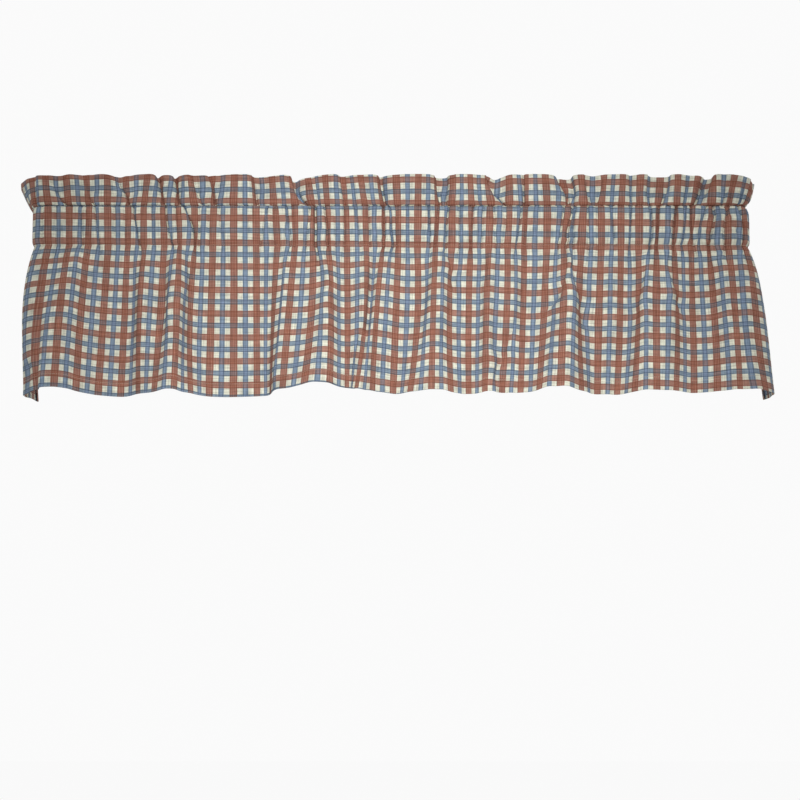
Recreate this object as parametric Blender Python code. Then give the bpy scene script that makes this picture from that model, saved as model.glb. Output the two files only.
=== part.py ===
"""Gathered window valance in checked cotton, as it hangs on a flat wrap-round curtain rod that is left out.

Two pieces of cloth. The face panel runs from the heading through the pocket and the skirt to the hem, and
wraps round both returns. The facing behind it closes the rod pocket and backs the heading.
Metres. X runs along the window, the face looks along -Y, the wall is at +Y, and z is 0 at the top edge.
"""

import math
from collections import namedtuple

import bpy
import numpy as np

for old in list(bpy.data.objects):
    bpy.data.objects.remove(old, do_unlink=True)

# ---- sizes ----
REPEAT = 0.041          # one repeat of the woven check, the ruler for places along the cloth
FIRST = -2.8            # side hem of the left return, in repeats
LAST = 40.9             # side hem of the right return, in repeats
HEADING = 0.058         # cloth from the top edge to the upper seam
POCKET = 0.0765         # cloth from the upper seam to the lower seam
SKIRT = 0.271           # cloth from the lower seam to the hem
SEAM_DROP = 0.0565      # the upper seam hangs this far below the top edge
POCKET_DROP = 0.0662    # and the lower seam this far below the upper one
UPPER = HEADING
LOWER = HEADING + POCKET
HEM = LOWER + SKIRT

SPAN = 1.228            # rod line, outside corner to outside corner
CORNER = 0.016          # bend radius of the rod line
ROD_HALF = 0.0048       # half the thickness of the flat rod the pocket is made for
CLOTH = 0.0012          # thickness of a layer
BETWEEN = 0.0020        # middle of one layer to the middle of the next, where they are sewn
SEWN_OUT = 0.0028       # how far outside the rod line the face is at a seam
BELLY = 0.0080          # how much further out it goes over the rod
SHOULDER = 0.011        # cloth it takes to get there

FINE = 40               # samples in a repeat when a level is worked out
MIDDLE = 0.40           # share of the skirt at which the "mid" columns hold
CREASE = 0.0040         # how softly the cloth turns at a fold
TUCK = 0.0045           # and at a gather
TUCK_FADE = 0.22        # share of the skirt over which the gathers open out
STEEPEST = 0.97         # steepest side of a fold, as rise over cloth
ROD_CLEAR = 0.0003      # the face stays this far off the rod, even in a gather
BACK_SLACK = 0.35       # share of a gather that shows as a wave in the facing

# ---- how the cloth lies ----
# A fold line of the skirt: where it is along the cloth at the seam, the middle and the hem, in repeats, and
# how far it stands out from the pocket at the middle and at the hem, in mm.
Fold = namedtuple("Fold", "seam mid hem out_mid out_hem")
FOLDS = [
    Fold(-2.80, -2.80, -2.80, 15, 12),
    Fold(-1.80, -1.80, -1.80, 18, 16),
    Fold(-1.20, -1.20, -1.20, 21, 29),
    Fold(-0.70, -0.70, -0.70, 27, 44),
    Fold(-0.30, -0.35, -0.30, 26, 54),
    Fold(0.50, 0.20, 0.10, 25, 58),
    Fold(1.30, 1.00, 0.60, 38, 62),
    Fold(1.75, 1.50, 1.10, 38, 60),
    Fold(2.30, 2.30, 2.10, 17, 40),
    Fold(3.00, 3.00, 2.90, 10, 19),
    Fold(4.20, 4.10, 4.00, 2, 1),
    Fold(4.48, 4.45, 4.45, 4, 8),
    Fold(4.98, 5.05, 5.20, 25, 27),
    Fold(6.10, 6.10, 6.00, 9, 42),
    Fold(6.55, 6.65, 6.60, 33, 53),
    Fold(7.10, 7.10, 7.00, 34, 49),
    Fold(8.00, 8.00, 7.90, 5, 30),
    Fold(8.60, 8.50, 9.00, 1, 7),
    Fold(9.50, 9.50, 9.70, 0, 0),
    Fold(11.50, 11.75, 11.60, 1, 13),
    Fold(12.60, 12.50, 12.50, 30, 48),
    Fold(13.50, 13.50, 13.40, 15, 62),
    Fold(14.40, 14.30, 14.05, 21, 75),
    Fold(14.95, 14.88, 14.75, 42, 82),
    Fold(15.60, 15.62, 15.60, 21, 64),
    Fold(16.20, 16.10, 15.95, 21, 58),
    Fold(17.00, 16.85, 16.25, 35, 61),
    Fold(17.50, 17.35, 16.70, 17, 43),
    Fold(18.00, 17.80, 17.15, 29, 55),
    Fold(18.90, 18.80, 18.20, 19, 30),
    Fold(19.60, 19.40, 19.10, 12, 22),
    Fold(20.50, 20.32, 20.00, 15, 42),
    Fold(20.95, 20.80, 20.45, 32, 45),
    Fold(21.50, 21.45, 21.10, 34, 47),
    Fold(21.95, 22.10, 21.95, 17, 38),
    Fold(23.00, 23.00, 22.90, 15, 22),
    Fold(23.78, 23.65, 23.50, 16, 30),
    Fold(24.15, 24.05, 24.35, 30, 47),
    Fold(24.60, 24.45, 24.98, 18, 25),
    Fold(25.45, 25.40, 25.50, 17, 32),
    Fold(26.00, 26.00, 26.20, 2, 34),
    Fold(26.60, 26.60, 26.60, 3, 37),
    Fold(27.60, 27.40, 26.95, 14, 47),
    Fold(28.15, 28.05, 27.45, 33, 58),
    Fold(28.42, 28.50, 28.20, 34, 65),
    Fold(29.10, 29.35, 29.40, 3, 34),
    Fold(30.00, 29.95, 29.85, 0, 19),
    Fold(30.70, 30.60, 30.40, 9, 28),
    Fold(31.30, 31.20, 30.95, 0, 18),
    Fold(31.80, 31.60, 31.40, 2, 25),
    Fold(32.50, 32.40, 31.95, 28, 40),
    Fold(33.10, 33.10, 32.80, 23, 49),
    Fold(33.60, 33.62, 33.40, 27, 49),
    Fold(34.05, 34.25, 34.20, 6, 39),
    Fold(35.00, 35.00, 35.00, 2, 29),
    Fold(35.90, 35.95, 35.80, 9, 40),
    Fold(36.60, 36.65, 36.50, 28, 47),
    Fold(37.40, 37.40, 37.50, 31, 56),
    Fold(38.00, 38.00, 38.00, 36, 60),
    Fold(38.70, 38.60, 38.60, 36, 60),
    Fold(39.20, 39.10, 39.20, 31, 49),
    Fold(39.90, 39.80, 40.00, 28, 41),
    Fold(40.90, 40.90, 40.90, 24, 37),
]

# A gather on the pocket: where along the cloth, in repeats, and how much cloth it takes up, in mm.
Gather = namedtuple("Gather", "at takes")
GATHERS = [
    Gather(-1.6, 9), Gather(0.4, 6), Gather(1.8, 8), Gather(2.6, 7), Gather(3.8, 9), Gather(4.8, 10),
    Gather(6.2, 10), Gather(6.8, 12), Gather(7.8, 9), Gather(8.6, 8), Gather(9.3, 5), Gather(11.3, 7),
    Gather(12.7, 9), Gather(13.7, 7), Gather(14.6, 15), Gather(15.5, 9), Gather(17.5, 12), Gather(18.5, 14),
    Gather(19.5, 6), Gather(20.8, 9), Gather(21.7, 9), Gather(22.6, 9), Gather(23.7, 9), Gather(24.7, 8),
    Gather(25.6, 11), Gather(27.2, 7), Gather(28.4, 14), Gather(29.4, 8), Gather(30.5, 7), Gather(31.8, 10),
    Gather(32.6, 9), Gather(33.8, 9), Gather(34.7, 10), Gather(35.5, 10), Gather(36.5, 6), Gather(37.6, 13),
    Gather(39.6, 9),
]

# A wave of the heading: where along the cloth at the upper seam and at the top edge, in repeats, and how far
# it stands out at the top edge, in mm. Below nought it falls back toward the wall.
Ruffle = namedtuple("Ruffle", "seam top out_top")
RUFFLES = [
    Ruffle(-2.8, -2.8, 38), Ruffle(-1.8, -1.8, 30), Ruffle(-1.1, -1.1, 16), Ruffle(-0.6, -0.6, 6),
    Ruffle(0.0, -0.1, 0), Ruffle(0.4, 0.3, -14), Ruffle(1.3, 1.4, 1), Ruffle(2.0, 1.9, -15),
    Ruffle(3.3, 3.4, 3), Ruffle(4.2, 4.0, -21), Ruffle(5.4, 5.4, 2), Ruffle(6.1, 6.0, -14),
    Ruffle(6.6, 6.6, 0), Ruffle(7.2, 7.1, -12), Ruffle(7.7, 7.6, 0), Ruffle(8.2, 8.1, -14),
    Ruffle(8.6, 8.6, -2), Ruffle(9.1, 9.0, -16), Ruffle(10.5, 10.7, 2), Ruffle(11.4, 11.3, -19),
    Ruffle(12.9, 12.9, 3), Ruffle(13.7, 13.4, -23), Ruffle(15.1, 15.2, 3), Ruffle(16.0, 15.9, -15),
    Ruffle(17.4, 17.5, 2), Ruffle(18.25, 18.15, -18), Ruffle(19.6, 19.6, 2), Ruffle(20.6, 20.7, 0),
    Ruffle(21.4, 21.2, -22), Ruffle(22.4, 22.5, 3), Ruffle(23.6, 23.5, -1), Ruffle(24.7, 24.5, -15),
    Ruffle(25.8, 25.8, 3), Ruffle(27.3, 27.2, -2), Ruffle(28.3, 28.0, -22), Ruffle(28.8, 28.8, -6),
    Ruffle(29.35, 29.3, -14), Ruffle(30.4, 30.4, 2), Ruffle(31.5, 31.5, -15), Ruffle(32.05, 32.1, -2),
    Ruffle(32.7, 32.8, -15), Ruffle(33.3, 33.4, -17), Ruffle(33.8, 33.9, -1), Ruffle(34.6, 34.6, -13),
    Ruffle(35.3, 35.3, -16), Ruffle(36.2, 36.3, 5), Ruffle(37.0, 37.1, -2), Ruffle(38.0, 38.1, 2),
    Ruffle(38.8, 38.8, 8), Ruffle(39.6, 39.7, 19), Ruffle(40.9, 40.9, 12),
]

# Where a place on the cloth ends up: repeats along the cloth, and mm along the rod line from its middle at
# the top edge, the pocket, the middle of the skirt and the hem.
Pin = namedtuple("Pin", "at top pocket mid hem")
PINS = [
    Pin(-2.8, -692, -692, -676, -657),
    Pin(-1.8, -650, -651, -637, -621),
    Pin(-1.2, -626, -626, -619, -612),
    Pin(-0.7, -612, -614, -611, -608),
    Pin(0.0, -604, -594, -601, -602),
    Pin(1.0, -577, -558, -563, -572),
    Pin(4.0, -472, -455, -457, -467),
    Pin(8.0, -351, -340, -348, -344),
    Pin(11.5, -231, -214, -213, -216),
    Pin(16.0, -88, -78, -72, -74),
    Pin(20.0, 38, 47, 48, 35),
    Pin(24.0, 158, 172, 163, 162),
    Pin(28.0, 287, 307, 296, 291),
    Pin(32.0, 430, 429, 427, 419),
    Pin(36.0, 562, 548, 559, 561),
    Pin(38.0, 608, 603, 606, 606),
    Pin(38.8, 622, 620, 616, 613),
    Pin(39.7, 648, 649, 639, 622),
    Pin(40.9, 692, 692, 686, 663),
]


def rod_line(r):
    """The rod line from above at distance r from the middle of the front: x, y and the outward direction."""
    flat = SPAN / 2 - CORNER
    arc = CORNER * math.pi / 2
    side = np.sign(r)
    a = np.abs(r)
    turn = np.clip((a - flat) / CORNER, 0, math.pi / 2)
    x = np.minimum(a, flat) + CORNER * np.sin(turn)
    y = CORNER * (1 - np.cos(turn)) + np.maximum(a - flat - arc, 0)
    return x * side, y, np.sin(turn) * side, -np.cos(turn)


def bend(r):
    """How sharply the rod line bends at r, eased in and out of the corners."""
    flat = SPAN / 2 - CORNER
    arc = CORNER * math.pi / 2
    a = np.abs(r)
    into = 1 / (1 + np.exp(-(a - flat) / 0.003))
    out_of = 1 / (1 + np.exp(-(a - flat - arc) / 0.003))
    return (into - out_of) / CORNER


def through(t, at_seam, at_mid, at_hem):
    """The smooth curve through three values, read at share t of the skirt."""
    return (at_seam * (t - MIDDLE) * (t - 1) / MIDDLE
            + at_mid * t * (t - 1) / (MIDDLE * (MIDDLE - 1))
            + at_hem * t * (t - MIDDLE) / (1 - MIDDLE))


def stands_out(t, mid, hem):
    """Depth of a fold at share t of the skirt: it grows fast under the seam and slowly below the middle."""
    fall = (hem - mid) / (1 - MIDDLE)
    at_mid = 0.4 * mid / MIDDLE + 0.5 * fall
    if t <= MIDDLE:
        q = t / MIDDLE
        return q * (1 - q) ** 2 * 1.9 * mid + q * q * (3 - 2 * q) * mid + q * q * (q - 1) * MIDDLE * at_mid
    q = (t - MIDDLE) / (1 - MIDDLE)
    w = 1 - MIDDLE
    return ((1 + 2 * q) * (1 - q) ** 2 * mid + q * (1 - q) ** 2 * w * at_mid
            + q * q * (3 - 2 * q) * hem + q * q * (q - 1) * w * fall)


def eased(values, width):
    """A level's values with their corners rounded over a width in metres."""
    step = REPEAT / FINE
    n = int(4 * width / step) + 1
    kernel = np.exp(-0.5 * (np.arange(-n, n + 1) * step / width) ** 2)
    kernel /= kernel.sum()
    left = 2 * values[0] - values[1:n + 1][::-1]
    right = 2 * values[-1] - values[-n - 1:-1][::-1]
    return np.convolve(np.concatenate([left, values, right]), kernel, mode="valid")


def gathered(u, share):
    """How far back the gathers pull the face of the pocket."""
    back = np.zeros_like(u)
    for g in GATHERS:
        half = g.takes / 1200
        back = np.maximum(back, np.clip(half - np.abs(u - g.at) * REPEAT, 0, None) * share)
    return eased(back, TUCK)


def level(v):
    """One level of the face: samples along the cloth, how far out each lies, and where along the rod line."""
    u = FIRST + np.arange(int(round((LAST - FIRST) * FINE)) + 1) / FINE
    at = np.array([p.at for p in PINS])
    pocket = np.array([p.pocket for p in PINS]) / 1000
    if v >= LOWER:
        t = (v - LOWER) / SKIRT
        folds = [through(t, f.seam, f.mid, f.hem) for f in FOLDS]
        depths = [stands_out(t, f.out_mid, f.out_hem) / 1000 for f in FOLDS]
        out = eased(np.interp(u, folds, depths), CREASE * (1 + t / 2)) + SEWN_OUT
        out -= gathered(u, math.exp(-(t / TUCK_FADE) ** 1.3))
        mid = np.array([p.mid for p in PINS]) / 1000
        hem = np.array([p.hem for p in PINS]) / 1000
        goal = through(t, pocket, mid, hem)
    elif v >= UPPER:
        q = min(v - UPPER, LOWER - v) / SHOULDER
        belly = math.sin(min(q, 1) * math.pi / 2)
        out = SEWN_OUT + BELLY * belly - gathered(u, 1 - 0.3 * belly)
        out = np.maximum(out, belly * (ROD_HALF + CLOTH / 2 + ROD_CLEAR) - 0.004 * (1 - belly))
        goal = pocket
    else:
        q = 1 - v / UPPER
        waves = [f.seam + (f.top - f.seam) * q for f in RUFFLES]
        depths = [f.out_top * q ** 0.8 / 1000 for f in RUFFLES]
        out = eased(np.interp(u, waves, depths), CREASE) + SEWN_OUT - gathered(u, 1 - 0.45 * q)
        goal = pocket + (np.array([p.top for p in PINS]) / 1000 - pocket) * q
    slope = np.clip(np.gradient(out, REPEAT / FINE), -STEEPEST, STEEPEST)
    run = np.sqrt(1 - slope ** 2)
    r = np.interp(u, at, goal)
    for _ in range(3):
        rate = run / (1 + bend(r) * out)
        length = np.concatenate([[0], np.cumsum((rate[1:] + rate[:-1]) / 2)])
        r = np.interp(length, np.interp(at, u, length), goal)
    return u, out, r


def columns():
    """Lines down the cloth that the mesh follows: every fold line, and one between two that lie far apart."""
    lines = [FOLDS[0]]
    for f in FOLDS[1:]:
        before = lines[-1]
        if f.seam - before.seam > 0.62:
            lines.append(Fold(*[(a + b) / 2 for a, b in zip(before, f)]))
        lines.append(f)
    return lines


def column_places(lines, v):
    """Repeats along the cloth of each column at cloth height v."""
    t = max(v - LOWER, 0) / SKIRT
    return np.array([through(t, f.seam, f.mid, f.hem) for f in lines])


def face(lines, levels):
    """Middle of the face panel's cloth, level by level from the top edge down."""
    rows = []
    for v in levels:
        u, out, r = level(v)
        at = column_places(lines, v)
        out = np.interp(at, u, out)
        x, y, nx, ny = rod_line(np.interp(at, u, r))
        rows.append(np.stack([x + nx * out, y + ny * out], axis=1))
    plan = np.array(rows)
    step = np.diff(levels)[:, None]
    shift = np.linalg.norm(np.diff(plan, axis=0), axis=2)
    fall = np.sqrt(np.clip(step ** 2 - shift ** 2, (0.25 * step) ** 2, None))
    up = levels.index(UPPER)
    low = levels.index(LOWER)
    z = np.zeros(plan.shape[:2])
    z[up] = -SEAM_DROP
    for j in range(up - 1, -1, -1):
        z[j] = z[j + 1] + fall[j]
    for j in range(up, low):
        z[j + 1] = -SEAM_DROP - POCKET_DROP * fall[up:j + 1].sum(axis=0) / fall[up:low].sum(axis=0)
    for j in range(low, len(levels) - 1):
        z[j + 1] = z[j] - fall[j]
    return np.dstack([plan, z[:, :, None]])


def set_off(grid, distance):
    """The same sheet moved along its own outward direction, its folds kept parallel."""
    down = grid[1:] - grid[:-1]
    along = grid[:, 1:] - grid[:, :-1]
    rows, cols = grid.shape[:2]
    total = np.zeros_like(grid)
    parts = []
    for dj in (0, 1):
        for di in (0, 1):
            n = np.cross(down[:, di:cols - 1 + di], along[dj:rows - 1 + dj])
            n /= np.linalg.norm(n, axis=2, keepdims=True)
            full = np.full_like(grid, np.nan)
            full[dj:rows - 1 + dj, di:cols - 1 + di] = n
            parts.append(full)
            total += np.nan_to_num(full)
    mean = total / np.linalg.norm(total, axis=2, keepdims=True)
    lean = np.nanmin([np.sum(mean * p, axis=2) for p in parts], axis=0)
    return grid + mean * distance / np.clip(lean, 0.62, 1)[:, :, None]


def thick_sheet(name, grid, thickness, colour, roughness):
    """A closed solid of even thickness round the middle surface, as a named object with its own material."""
    front = set_off(grid, thickness / 2)
    back = set_off(grid, -thickness / 2)
    rows, cols = grid.shape[:2]
    size = rows * cols
    faces = []
    for j in range(rows - 1):
        for i in range(cols - 1):
            a = j * cols + i
            faces.append((a, a + cols, a + cols + 1, a + 1))
            faces.append((size + a, size + a + 1, size + a + cols + 1, size + a + cols))
    rim = [i for i in range(cols)]
    rim += [j * cols + cols - 1 for j in range(1, rows)]
    rim += [(rows - 1) * cols + i for i in range(cols - 2, -1, -1)]
    rim += [j * cols for j in range(rows - 2, 0, -1)]
    for a, b in zip(rim, rim[1:] + rim[:1]):
        faces.append((a, b, size + b, size + a))
    mesh = bpy.data.meshes.new(name)
    mesh.from_pydata(np.concatenate([front.reshape(-1, 3), back.reshape(-1, 3)]).tolist(), [], faces)
    mesh.validate()
    mesh.update()
    thing = bpy.data.objects.new(name, mesh)
    bpy.context.scene.collection.objects.link(thing)
    cloth = bpy.data.materials.new(name + "_cotton")
    cloth.use_nodes = True
    shader = cloth.node_tree.nodes["Principled BSDF"]
    shader.inputs["Base Color"].default_value = (*colour, 1)
    shader.inputs["Roughness"].default_value = roughness
    shader.inputs["Metallic"].default_value = 0
    mesh.materials.append(cloth)
    return thing


# ---- the face panel ----
lines = columns()
pocket_levels = [UPPER, UPPER + SHOULDER, UPPER + POCKET / 2, LOWER - SHOULDER, LOWER]
heading_levels = [0.0, HEADING / 3, 2 * HEADING / 3]
skirt_levels = [LOWER + SKIRT * share for share in (0.07, 0.16, 0.28, 0.4, 0.55, 0.7, 0.85, 1.0)]
levels = heading_levels + pocket_levels + skirt_levels
panel = face(lines, levels)
thick_sheet("valance_panel", panel, CLOTH, (0.52, 0.36, 0.33), 0.9)

# ---- the facing: behind the heading and behind the rod, sewn on along both seams ----
upper = levels.index(UPPER)
lower = levels.index(LOWER)
heading_back = set_off(panel[:upper + 1], -BETWEEN)
seam_back = set_off(panel[lower:lower + 2], -BETWEEN)[:1]
wall_rows = []
for v in pocket_levels[1:-1]:
    u, out, r = level(v)
    at = column_places(lines, v)
    slack = SEWN_OUT + BELLY - np.interp(at, u, out)
    back = -(ROD_HALF + CLOTH / 2 + ROD_CLEAR) - BACK_SLACK * np.clip(slack, 0, None)
    x, y, nx, ny = rod_line(np.interp(at, u, r))
    z = panel[levels.index(v), :, 2]
    wall_rows.append(np.stack([x + nx * back, y + ny * back, z], axis=1))
facing = np.concatenate([heading_back, np.array(wall_rows), seam_back])
thick_sheet("rod_pocket_facing", facing, CLOTH, (0.56, 0.42, 0.38), 0.9)
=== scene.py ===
"""Gathered window valance in yarn-dyed checked cotton, hanging as it does on a flat rod inside its pocket.

The sections follow the making: the checked cloth, the face panel, the facing behind it, the rows of
stitching, and last the plain surroundings. Metres; X runs along the window, the face looks along -Y, and
z is 0 at the top edge.
"""

import math
from collections import namedtuple

import bpy
import numpy as np
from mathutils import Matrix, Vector


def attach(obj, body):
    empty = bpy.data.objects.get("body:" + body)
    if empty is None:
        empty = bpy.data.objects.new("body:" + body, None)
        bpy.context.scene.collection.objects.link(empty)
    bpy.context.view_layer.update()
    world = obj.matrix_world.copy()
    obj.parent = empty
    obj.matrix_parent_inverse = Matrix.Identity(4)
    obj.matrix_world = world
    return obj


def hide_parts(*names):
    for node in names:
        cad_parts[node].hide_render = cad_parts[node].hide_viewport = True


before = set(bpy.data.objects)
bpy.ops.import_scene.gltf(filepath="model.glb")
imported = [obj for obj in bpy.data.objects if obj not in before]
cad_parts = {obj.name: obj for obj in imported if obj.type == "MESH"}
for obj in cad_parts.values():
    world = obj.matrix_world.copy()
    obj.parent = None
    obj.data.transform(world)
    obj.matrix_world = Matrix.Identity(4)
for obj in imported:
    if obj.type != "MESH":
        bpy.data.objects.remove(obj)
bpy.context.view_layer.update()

# ---- the checked cloth ----
# A plain-woven cotton, dyed in the yarn before it was woven: brick red and blue stripes on cream run down
# the cloth, and the same three colours cross it. Both sides look alike. It is soft, matte and a bit slubby.
REPEAT = 0.0410         # one repeat of the check along the cloth
REPEAT_DOWN = 0.0416    # and down it
YARNS = 58              # yarns in a repeat
BIAS = 0.0088           # the weft runs this many repeats off straight for each repeat along the cloth
FIRST_WEFT = 0.16       # middle of the first red weft band below the top edge, in repeats
SLUB_LONG = 17.0        # slubs side by side in a repeat, in the warp
SLUB_CROSS = 15.0       # and in the weft

# Where two dyed yarns cross, their colours are multiplied, and these bring the result back up to the cloth's.
RED_ON_RED = (2.37, 3.95, 4.70, 1)
BLUE_ON_BLUE = (3.60, 2.85, 2.50, 1)
RED_ON_BLUE = (2.75, 3.10, 3.25, 1)


def shade(red, green, blue):
    """A colour as the eye names it, 0 to 255, as the linear colour that a material holds."""
    return (*(((c / 255 + 0.055) / 1.055) ** 2.4 for c in (red, green, blue)), 1)


def wired(tree, kind, settings=(), **inputs):
    """A new node with its settings made, and its inputs set to values or wired to other nodes' outputs."""
    made = tree.nodes.new(kind)
    for name, value in dict(settings).items():
        setattr(made, name, value)
    for name, value in inputs.items():
        at = int(name[1:]) if name[0] == "n" and name[1:].isdigit() else name.replace("_", " ")
        if isinstance(value, bpy.types.NodeSocket):
            tree.links.new(value, made.inputs[at])
        else:
            made.inputs[at].default_value = value
    return made


def sums(tree, operation, first, second=0.0, third=0.0):
    """One Math node's result."""
    return wired(tree, "ShaderNodeMath", {"operation": operation}, n0=first, n1=second, n2=third).outputs[0]


def mixed(tree, share, first, second, way="MIX"):
    """Two colours mixed."""
    settings = {"data_type": "RGBA", "blend_type": way}
    return wired(tree, "ShaderNodeMix", settings, n0=share, n6=first, n7=second).outputs[2]


def stripes(tree, place, stops):
    """The yarn colours across half a repeat, from the middle of the red stripe to that of the blue one."""
    ramp = wired(tree, "ShaderNodeValToRGB", n0=place)
    keys = ramp.color_ramp.elements
    while len(keys) < len(stops):
        keys.new(0.5)
    for key, (position, colour, dyed) in zip(keys, stops):
        key.position = position
        key.color = (*colour[:3], dyed)
    return ramp.outputs


check = bpy.data.node_groups.new("yarn dyed check", "ShaderNodeTree")
check.interface.new_socket("Cloth", in_out="INPUT", socket_type="NodeSocketVector")
check.interface.new_socket("Fading", in_out="INPUT", socket_type="NodeSocketFloat")
check.interface.new_socket("Colour", in_out="OUTPUT", socket_type="NodeSocketColor")
check.interface.new_socket("Relief", in_out="OUTPUT", socket_type="NodeSocketFloat")
check.interface.new_socket("Roughness", in_out="OUTPUT", socket_type="NodeSocketFloat")

given = check.nodes.new("NodeGroupInput")
axes = wired(check, "ShaderNodeSeparateXYZ", n0=given.outputs["Cloth"])
along, down = axes.outputs[0], axes.outputs[1]
wander = wired(check, "ShaderNodeTexNoise", Vector=given.outputs["Cloth"], Scale=1.7, Detail=2.0).outputs[0]
wander = sums(check, "MULTIPLY_ADD", wander, 0.030, -0.015)
warp_place = sums(check, "MULTIPLY", sums(check, "PINGPONG", sums(check, "ADD", along, wander), 0.5), 2.0)
weft_at = sums(check, "ADD", sums(check, "SUBTRACT", down, FIRST_WEFT), wander)
weft_place = sums(check, "MULTIPLY", sums(check, "PINGPONG", weft_at, 0.5), 2.0)

cream = shade(226, 225, 207)
warp_stops = [
    (0.00, shade(173, 126, 111), 1), (0.08, shade(148, 98, 83), 1), (0.15, shade(176, 134, 119), 1),
    (0.22, shade(143, 93, 78), 1), (0.27, shade(164, 116, 102), 1), (0.31, shade(146, 99, 86), 1),
    (0.345, cream, 0), (0.755, cream, 0), (0.785, shade(130, 147, 162), 1), (0.86, shade(106, 124, 145), 1),
    (0.93, shade(142, 159, 180), 1), (1.00, shade(130, 148, 170), 1),
]
weft_stops = [
    (0.00, shade(178, 135, 120), 1), (0.07, shade(160, 114, 98), 1), (0.13, shade(177, 134, 120), 1),
    (0.21, shade(144, 95, 80), 1), (0.25, shade(160, 113, 99), 1), (0.29, cream, 0), (0.76, cream, 0),
    (0.795, shade(121, 137, 150), 1), (0.86, shade(98, 116, 135), 1), (0.91, shade(147, 162, 175), 1),
    (0.96, shade(141, 157, 172), 1), (1.00, shade(116, 134, 152), 1),
]
warp_colour, warp_dyed = stripes(check, warp_place, warp_stops)
weft_colour, weft_dyed = stripes(check, weft_place, weft_stops)
apart = sums(check, "ABSOLUTE", sums(check, "SUBTRACT", warp_place, weft_place))
unlike = sums(check, "GREATER_THAN", apart, 0.5)
alike = mixed(check, sums(check, "GREATER_THAN", warp_place, 0.5), RED_ON_RED, BLUE_ON_BLUE)
deeper = mixed(check, unlike, alike, RED_ON_BLUE)
undyed = tuple(1 / part for part in cream)
tint = mixed(check, sums(check, "MULTIPLY", warp_dyed, weft_dyed), undyed, deeper)
woven = mixed(check, 1.0, mixed(check, 1.0, warp_colour, weft_colour, "MULTIPLY"), tint, "MULTIPLY")

long_slubs = wired(check, "ShaderNodeVectorMath", {"operation": "MULTIPLY"},
                   n0=given.outputs["Cloth"], n1=(SLUB_LONG, 0.9, 1.0)).outputs[0]
cross_slubs = wired(check, "ShaderNodeVectorMath", {"operation": "MULTIPLY"},
                    n0=given.outputs["Cloth"], n1=(0.9, SLUB_CROSS, 1.0)).outputs[0]
yarn = {"Scale": 1.0, "Detail": 3.0, "Roughness": 0.65}
slub_warp = wired(check, "ShaderNodeTexNoise", Vector=long_slubs, **yarn).outputs[0]
slub_weft = wired(check, "ShaderNodeTexNoise", Vector=cross_slubs, **yarn).outputs[0]
uneven = wired(check, "ShaderNodeTexNoise", Vector=given.outputs["Cloth"], Scale=0.8, Detail=4.0).outputs[0]
slubs = sums(check, "ADD", slub_warp, slub_weft)
light = sums(check, "MULTIPLY_ADD", slubs, 1.15, -0.15)
light = sums(check, "MULTIPLY", light, sums(check, "MULTIPLY_ADD", uneven, 0.14, 0.93))

over = sums(check, "SINE", sums(check, "MULTIPLY", along, math.pi * YARNS))
under = sums(check, "SINE", sums(check, "MULTIPLY", down, math.pi * YARNS))
weave = sums(check, "MULTIPLY", over, under)
light = sums(check, "MULTIPLY", light, sums(check, "MULTIPLY_ADD", weave, 0.07, 1.0))
grey = wired(check, "ShaderNodeCombineColor", n0=light, n1=light, n2=light).outputs[0]
toned = mixed(check, 1.0, woven, grey, "MULTIPLY")
faded = mixed(check, given.outputs["Fading"], toned, cream)
relief = sums(check, "MULTIPLY_ADD", weave, 0.35, sums(check, "MULTIPLY", slubs, 0.8))
rough = sums(check, "MULTIPLY_ADD", slubs, 0.12, 0.76)
ready = check.nodes.new("NodeGroupOutput")
check.links.new(faded, ready.inputs["Colour"])
check.links.new(relief, ready.inputs["Relief"])
check.links.new(rough, ready.inputs["Roughness"])


def cotton(name, fading, crimp):
    """Checked cotton as a material: how far its dye has faded, and how deep its weave is in metres."""
    made = bpy.data.materials.new(name)
    made.use_nodes = True
    tree = made.node_tree
    body = tree.nodes["Principled BSDF"]
    body.inputs["Specular IOR Level"].default_value = 0.22
    body.inputs["Sheen Weight"].default_value = 0.03
    body.inputs["Sheen Roughness"].default_value = 0.6
    cloth_map = wired(tree, "ShaderNodeUVMap", {"uv_map": "Cloth"}).outputs[0]
    pattern = wired(tree, "ShaderNodeGroup", {"node_tree": check}, Cloth=cloth_map, Fading=fading)
    bump = wired(tree, "ShaderNodeBump", Height=pattern.outputs["Relief"], Distance=crimp, Strength=0.9)
    tree.links.new(pattern.outputs["Colour"], body.inputs["Base Color"])
    tree.links.new(pattern.outputs["Roughness"], body.inputs["Roughness"])
    tree.links.new(bump.outputs[0], body.inputs["Normal"])
    return made


# ---- the face panel ----
# One width of the cloth, from the ruffled heading over the front of the rod pocket and down the skirt to a
# hem turned up behind. Its sides wrap round the rod's corners back to the wall, and end in narrow side hems.
FIRST = -2.8            # side edge of the left return, in repeats along the cloth
LAST = 40.9             # side edge of the right return
HEADING = 0.0636        # cloth above the upper seam
POCKET = 0.0716         # cloth between the seams
SKIRT = 0.2663          # cloth below the lower seam
UPPER = HEADING
LOWER = HEADING + POCKET
HEM = LOWER + SKIRT
SEAM_DROP = 0.0532      # the upper seam hangs this far below the top edge
POCKET_DROP = 0.0700    # and the lower seam this far below the upper one
SPAN = 1.228            # rod line, outside corner to outside corner
CORNER = 0.016          # bend radius of the rod line
BEND_EASE = 0.003       # and how softly the bend begins and ends
UPPER_OUT = 0.0028      # how far outside the rod line the face is at the upper seam
LOWER_OUT = 0.0066      # and at the lower one, which draws it in less
FRONT_OUT = 0.0106      # and between them, over the rod
SHOULDER = 0.0110       # cloth it takes to get there
FLARE = 0.0075          # how far the heading springs out above the seam
FLARE_REACH = 0.006     # cloth it takes to get there
PINCH = 0.75            # and how much of its height the seam's gathers take up there
PINCH_REACH = 0.009     # and how far up they do
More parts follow.
